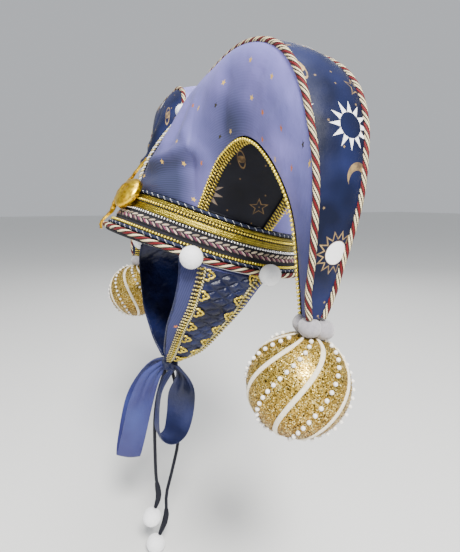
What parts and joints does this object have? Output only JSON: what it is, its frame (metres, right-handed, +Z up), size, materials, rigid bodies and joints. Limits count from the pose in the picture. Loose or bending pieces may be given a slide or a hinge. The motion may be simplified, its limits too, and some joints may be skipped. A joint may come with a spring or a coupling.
{
  "type": "jester hat",
  "caption": "Two-horned jester hat with trimmed head band, arched horns ending in baubles, ear flaps, chin bow and hanging pompom tails.",
  "frame": {"origin": "middle of the head band, where the hat sits on a head", "axes": "+Z up, -Y towards the wearer's front, +X towards the wearer's left; the horns reach out along +X and -X"},
  "size_m": [0.442, 0.2052, 0.4965],
  "materials": {
    "lavender_satin": "satin with small gold stars",
    "navy_print": "satin printed with suns, moons and stars",
    "navy_satin": "satin",
    "black_cloth": "matt",
    "gold_ribbon": "metallic ribbon",
    "gold_bead": "polished beads and metallic braid",
    "silver_bead": "polished beads",
    "herringbone": "plaited braid",
    "fleck_cord": "twisted cord with white flecks",
    "twist_cord": "red and cream twisted cord",
    "white_pompom": "fluffy",
    "grey_pompom": "fluffy",
    "gold_glitter": "glitter",
    "brooch_gold": "polished gilt",
    "tail_cord": "matt"
  },
  "bodies": {
    "root": {"band_wall": "black_cloth", "band_gold_ribbon_upper": "gold_ribbon", "band_gold_ribbon_lower": "gold_ribbon", "band_herringbone": "herringbone", "band_fleck_cord_upper": "fleck_cord", "band_fleck_cord_lower": "fleck_cord", "band_gold_beads_upper": "gold_bead", "band_gold_beads_lower": "gold_bead", "band_silver_beads": "silver_bead", "band_rim_cord": "twist_cord", "horn_front_panel_left": "lavender_satin", "horn_back_panel_left": "lavender_satin", "horn_outer_gusset_left": "navy_print", "horn_inner_gusset_left": "navy_print", "horn_cord_front_left": "twist_cord", "arch_braid_front_left": "gold_bead", "flap_gimp_front_left": "gold_bead", "flap_pompom_front_left": "white_pompom", "horn_cord_back_left": "twist_cord", "arch_braid_back_left": "gold_bead", "flap_gimp_back_left": "gold_bead", "flap_pompom_back_left": "white_pompom", "bauble_left": "gold_glitter", "bauble_collar_left": "grey_pompom", "flap_left": "lavender_satin", "flap_smocking_left": "navy_satin", "bow_loop_left": "navy_satin", "tail_left": "tail_cord", "tail_left_pompom": "white_pompom", "horn_front_panel_right": "navy_print", "horn_back_panel_right": "navy_print", "horn_outer_gusset_right": "lavender_satin", "horn_inner_gusset_right": "navy_print", "horn_cord_front_right": "twist_cord", "arch_braid_front_right": "gold_bead", "flap_gimp_front_right": "gold_bead", "flap_pompom_front_right": "white_pompom", "horn_cord_back_right": "twist_cord", "arch_braid_back_right": "gold_bead", "flap_gimp_back_right": "gold_bead", "flap_pompom_back_right": "white_pompom", "bauble_right": "gold_glitter", "bauble_collar_right": "grey_pompom", "flap_right": "lavender_satin", "flap_smocking_right": "navy_satin", "bow_loop_right": "navy_satin", "tail_right": "tail_cord", "tail_right_pompom": "white_pompom", "front_seam_cord": "twist_cord", "valley_pompom_1": "white_pompom", "valley_pompom_2": "white_pompom", "valley_pompom_3": "white_pompom", "bow_knot": "navy_satin", "brooch_crescent": "brooch_gold", "brooch_face": "brooch_gold"}
  },
  "joints": []
}
